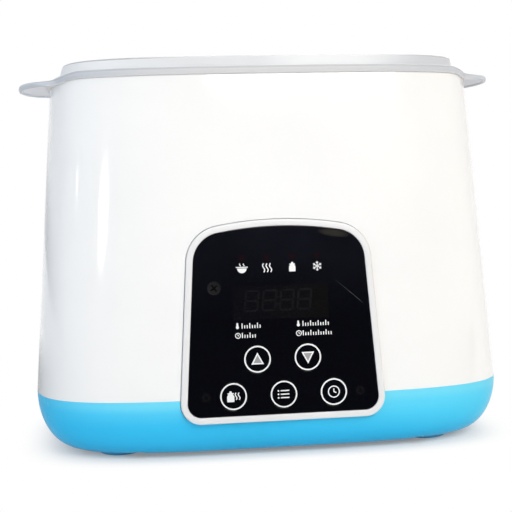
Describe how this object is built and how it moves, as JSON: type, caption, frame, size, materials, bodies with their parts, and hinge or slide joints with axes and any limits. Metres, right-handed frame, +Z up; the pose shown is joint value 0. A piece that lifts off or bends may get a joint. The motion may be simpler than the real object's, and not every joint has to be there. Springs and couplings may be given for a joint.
{
  "type": "bottle warmer sterilizer",
  "caption": "Tapered counter-top bottle warmer and sterilizer with a framed control panel, heated water tank and lift-out twin-bay bottle basket.",
  "frame": {"origin": "on the floor under the middle of the object's box", "axes": "+X to the right seen from the front, +Y to the back, +Z up"},
  "size_m": [0.2516, 0.1644, 0.1961],
  "materials": {
    "white_shell": "glossy moulded white plastic",
    "blue_base": "glossy moulded sky-blue plastic",
    "blue_rubber": "satin blue rubber",
    "grey_rubber": "matt soft rubber",
    "pale_bezel": "satin pale grey plastic",
    "smoked_window": "polished smoked plate",
    "black_key": "polished smoked key with a white ring",
    "frosted_basket": "frosted translucent plastic",
    "circuit_board": "green circuit board",
    "dark_component": "black moulded component",
    "lamp_red": "red diffused lens",
    "steel": "bright steel",
    "silicone": "red silicone",
    "ceramic_part": "tan heat-proof moulding",
    "copper_winding": "taped winding on a core",
    "blue_component": "blue moulded relay case",
    "grey_cable": "grey flat cable"
  },
  "bodies": {
    "housing": {"main_housing": "white_shell", "base_pan": "blue_base", "foot_front_left": "blue_rubber", "foot_front_right": "blue_rubber", "foot_rear_left": "blue_rubber", "foot_rear_right": "blue_rubber", "cord_gland": "grey_rubber", "panel_bezel": "pale_bezel", "panel_window": "smoked_window", "water_tank": "white_shell", "heater_plate": "steel", "key_switches": "steel", "control_board": "circuit_board", "control_board_screws": "steel", "led_display": "dark_component", "indicator_lamp_1": "lamp_red", "indicator_lamp_2": "lamp_red", "indicator_lamp_3": "lamp_red", "indicator_lamp_4": "lamp_red", "heater_seal": "silicone", "heater_clamp": "steel", "heater_screws": "steel", "heating_element": "steel", "thermal_cutout": "ceramic_part", "temperature_sensor": "ceramic_part", "power_board": "circuit_board", "power_board_screws": "steel", "transformer": "copper_winding", "relay": "blue_component", "filter_capacitor": "dark_component", "buzzer": "dark_component", "ribbon_cable": "grey_cable", "heater_leads": "silicone", "housing_screws": "steel"},
    "basket": {"bottle_basket": "frosted_basket"},
    "key_up_body": {"key_up": "black_key"},
    "key_down_body": {"key_down": "black_key"},
    "key_warm_body": {"key_warm": "black_key"},
    "key_function_body": {"key_function": "black_key"},
    "key_timer_body": {"key_timer": "black_key"}
  },
  "joints": [
    {"name": "basket_lift", "type": "slide", "parent": "housing", "child": "basket", "axis": [0, 0, 1], "range_m": [0, 0.12]},
    {"name": "key_up_press", "type": "slide", "parent": "housing", "child": "key_up_body", "axis": [0, 0.9984, -0.0573], "range_m": [0, 0.0004], "stiffness_N_per_m": 800},
    {"name": "key_down_press", "type": "slide", "parent": "housing", "child": "key_down_body", "axis": [0, 0.9984, -0.0573], "range_m": [0, 0.0004], "stiffness_N_per_m": 800},
    {"name": "key_warm_press", "type": "slide", "parent": "housing", "child": "key_warm_body", "axis": [0, 0.9984, -0.0573], "range_m": [0, 0.0004], "stiffness_N_per_m": 800},
    {"name": "key_function_press", "type": "slide", "parent": "housing", "child": "key_function_body", "axis": [0, 0.9984, -0.0573], "range_m": [0, 0.0004], "stiffness_N_per_m": 800},
    {"name": "key_timer_press", "type": "slide", "parent": "housing", "child": "key_timer_body", "axis": [0, 0.9984, -0.0573], "range_m": [0, 0.0004], "stiffness_N_per_m": 800}
  ]
}
